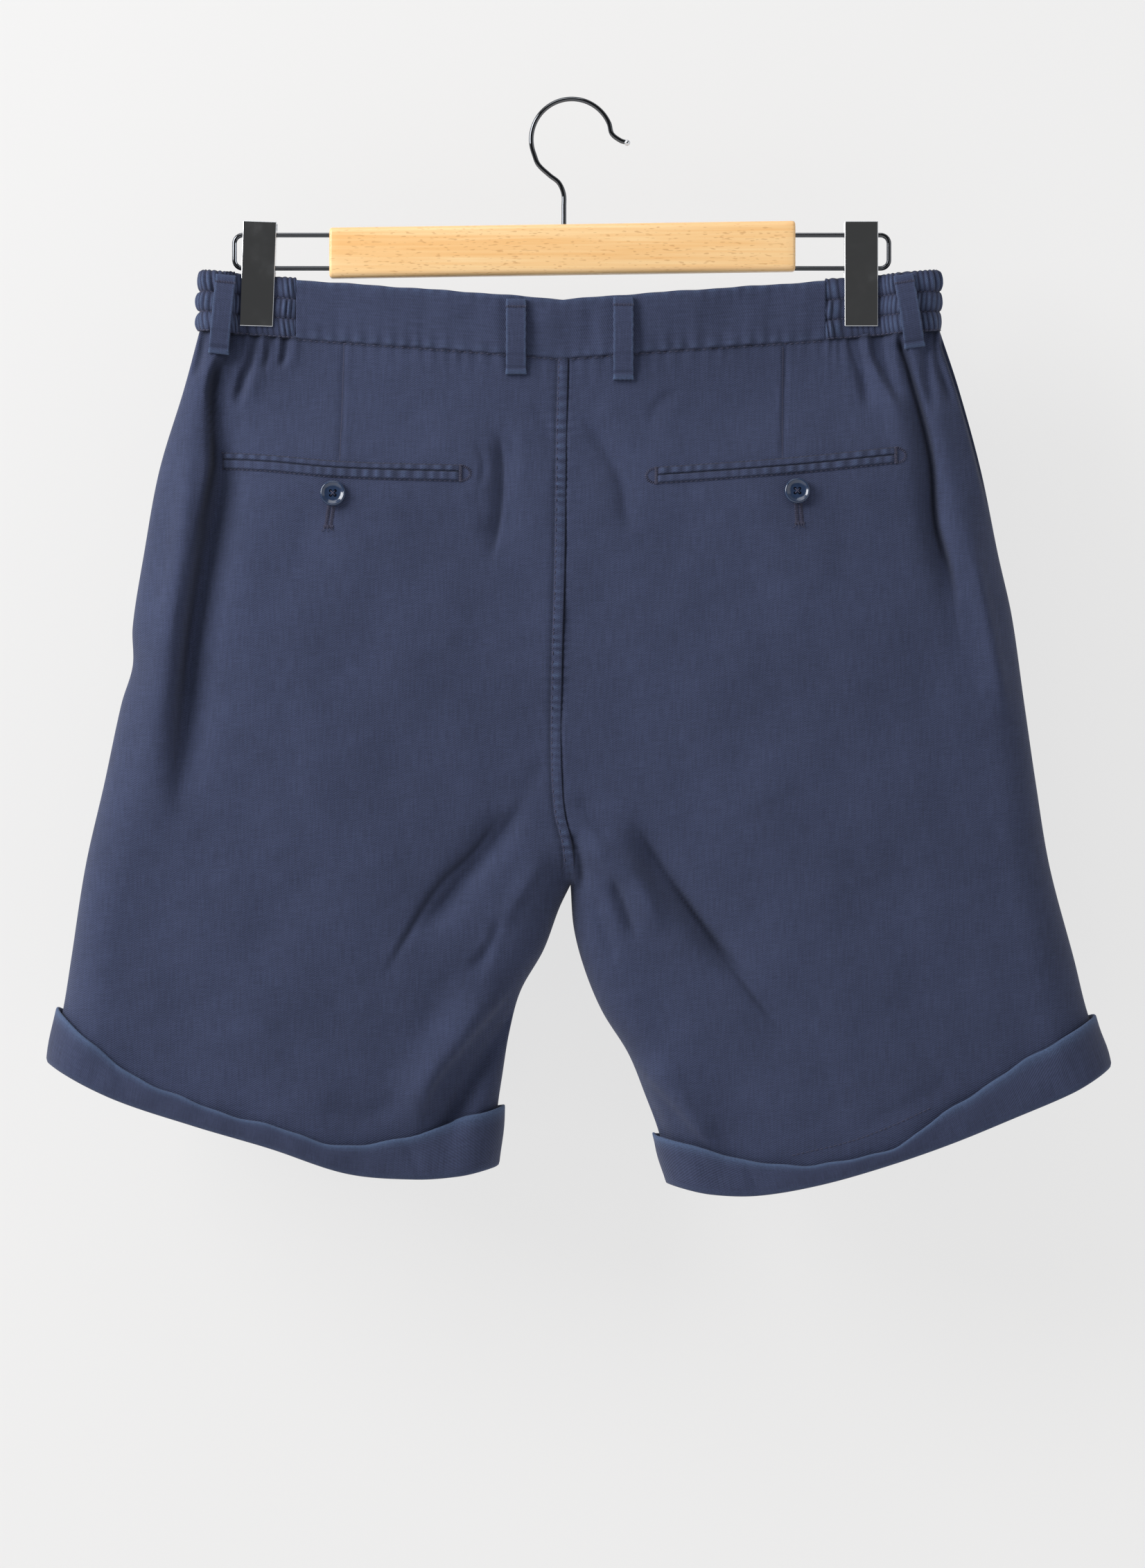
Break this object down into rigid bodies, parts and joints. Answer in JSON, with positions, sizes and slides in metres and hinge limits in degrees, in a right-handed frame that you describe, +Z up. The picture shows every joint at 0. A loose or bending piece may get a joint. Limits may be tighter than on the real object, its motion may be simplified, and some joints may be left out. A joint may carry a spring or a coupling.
{
  "type": "bermuda shorts on a clip hanger",
  "caption": "Cotton twill bermuda shorts with turned-up hems, elastic waist sides and welt back pockets, hung from a wooden clip hanger with a metal hook.",
  "frame": {"origin": "inside top of the hanger's hook, where a rail carries it", "axes": "+Z up, +X towards the wearer's right, the back of the shorts faces -Y"},
  "size_m": [0.6221, 0.0698, 0.6392],
  "materials": {
    "twill": "washed navy cotton twill, matt",
    "button": "glossy navy four-hole button",
    "beech": "clear satin lacquer",
    "chrome": "polished plate"
  },
  "bodies": {
    "root": {"back_left": "twill", "back_right": "twill", "front_left": "twill", "front_right": "twill", "waistband_back": "twill", "waistband_front_left": "twill", "waistband_front_right": "twill", "elastic_left": "twill", "elastic_right": "twill", "loop_back_outer_left": "twill", "loop_back_inner_left": "twill", "loop_back_outer_right": "twill", "loop_back_inner_right": "twill", "loop_front_left": "twill", "loop_front_right": "twill", "pocket_welt_left": "twill", "pocket_welt_right": "twill", "front_pocket_left": "twill", "front_pocket_right": "twill", "fly": "twill", "cuff_left": "twill", "cuff_right": "twill", "pocket_button_left": "button", "pocket_button_right": "button", "waist_button": "button", "hanger_bar": "beech", "hook": "chrome", "wire_left": "chrome", "wire_right": "chrome", "clip_left_back": "chrome", "clip_left_front": "chrome", "clip_right_back": "chrome", "clip_right_front": "chrome"}
  },
  "joints": []
}
